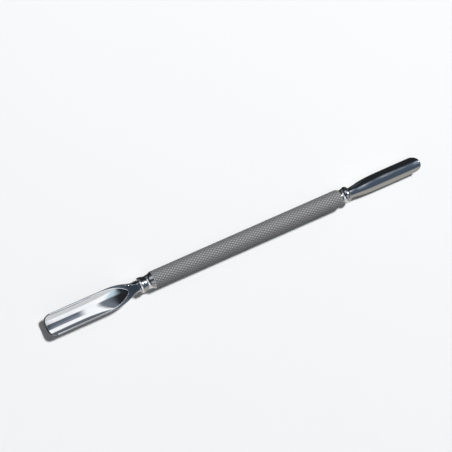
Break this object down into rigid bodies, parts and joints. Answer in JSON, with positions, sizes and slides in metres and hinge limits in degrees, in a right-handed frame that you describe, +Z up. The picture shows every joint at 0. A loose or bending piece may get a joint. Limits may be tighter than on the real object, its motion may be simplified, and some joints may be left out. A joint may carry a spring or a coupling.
{
  "type": "cuticle pusher",
  "caption": "Double-ended cuticle pusher with a knurled tube handle, turned collars, a broad hollow gouge at one end and a narrow gouge facing the other way at the other.",
  "frame": {"origin": "on the plane the handle lies on, under the middle of its length, width and height box", "axes": "+X along the handle from the broad gouge to the narrow gouge; +Z up, out of the hollow of the broad gouge; the tool is symmetric about the plane y = 0"},
  "size_m": [0.139, 0.0078, 0.006],
  "materials": {
    "knurled_steel": "fine diamond knurl, satin grey",
    "turned_steel": "turned and polished",
    "polished_steel": "mirror polished"
  },
  "bodies": {
    "root": {"handle_tube": "knurled_steel", "wide_collar": "turned_steel", "slim_collar": "turned_steel", "wide_gouge": "polished_steel", "slim_gouge": "polished_steel"}
  },
  "joints": []
}
